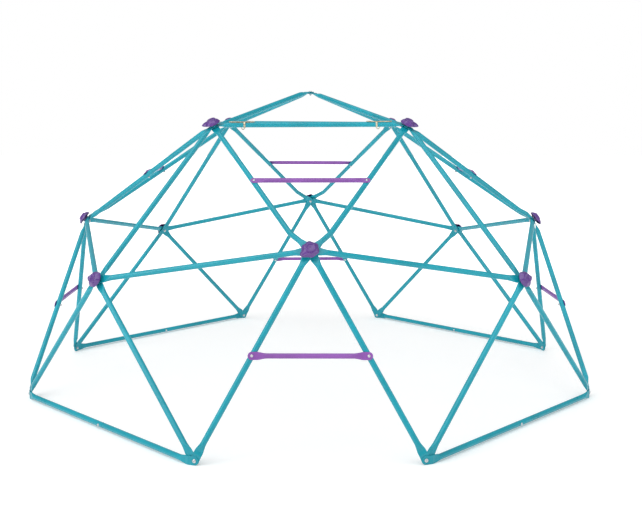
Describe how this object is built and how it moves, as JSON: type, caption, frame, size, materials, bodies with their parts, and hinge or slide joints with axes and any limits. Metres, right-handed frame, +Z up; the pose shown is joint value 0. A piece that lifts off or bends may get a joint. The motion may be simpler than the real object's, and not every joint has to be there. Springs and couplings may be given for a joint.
{
  "type": "dome climber",
  "caption": "Hemispherical climbing frame of bolted tubes with crushed ends, ladder rungs on its four sides and lobed plastic caps over the joints.",
  "frame": {"origin": "centre of the dome's footprint, on the ground that its eight feet stand on", "axes": "+Z up; -Y is the front, where one of the four ladders faces; +X to the right as seen from the front"},
  "size_m": [2.8776, 2.8776, 1.5546],
  "materials": {
    "tube_paint": "gloss turquoise powder coat on steel tube",
    "rung_paint": "satin purple powder coat on steel tube",
    "cap_plastic": "moulded purple polyethylene, satin with a fine texture",
    "zinc_plate": "bright zinc-plated steel fasteners",
    "clip_steel": "yellow-passivated zinc plate on bent sheet steel"
  },
  "bodies": {
    "root": {"apex_bar_front": "tube_paint", "apex_bar_right": "tube_paint", "apex_bar_back": "tube_paint", "apex_bar_left": "tube_paint", "top_bar_front": "tube_paint", "top_bar_right": "tube_paint", "top_bar_back": "tube_paint", "top_bar_left": "tube_paint", "slope_bar_front": "tube_paint", "slope_bar_right": "tube_paint", "slope_bar_back": "tube_paint", "slope_bar_left": "tube_paint", "ladder_rail_front_a": "tube_paint", "ladder_rail_front_b": "tube_paint", "ladder_rail_right_a": "tube_paint", "ladder_rail_right_b": "tube_paint", "ladder_rail_back_a": "tube_paint", "ladder_rail_back_b": "tube_paint", "ladder_rail_left_a": "tube_paint", "ladder_rail_left_b": "tube_paint", "ring_bar_front_a": "tube_paint", "ring_bar_front_b": "tube_paint", "ring_bar_right_a": "tube_paint", "ring_bar_right_b": "tube_paint", "ring_bar_back_a": "tube_paint", "ring_bar_back_b": "tube_paint", "ring_bar_left_a": "tube_paint", "ring_bar_left_b": "tube_paint", "ladder_leg_front_a": "tube_paint", "ladder_leg_front_b": "tube_paint", "ladder_leg_right_a": "tube_paint", "ladder_leg_right_b": "tube_paint", "ladder_leg_back_a": "tube_paint", "ladder_leg_back_b": "tube_paint", "ladder_leg_left_a": "tube_paint", "ladder_leg_left_b": "tube_paint", "corner_leg_front_a": "tube_paint", "corner_leg_front_b": "tube_paint", "corner_leg_right_a": "tube_paint", "corner_leg_right_b": "tube_paint", "corner_leg_back_a": "tube_paint", "corner_leg_back_b": "tube_paint", "corner_leg_left_a": "tube_paint", "corner_leg_left_b": "tube_paint", "upper_rung_front": "rung_paint", "upper_rung_right": "rung_paint", "upper_rung_back": "rung_paint", "upper_rung_left": "rung_paint", "lower_rung_front": "rung_paint", "lower_rung_right": "rung_paint", "lower_rung_back": "rung_paint", "lower_rung_left": "rung_paint", "ground_socket_halves": "tube_paint", "ground_spigot_halves": "tube_paint", "joint_caps": "cap_plastic", "joint_bolts": "zinc_plate", "joint_nuts": "zinc_plate", "cross_bolts": "zinc_plate", "cross_nuts": "zinc_plate", "hanging_clips": "clip_steel"}
  },
  "joints": []
}
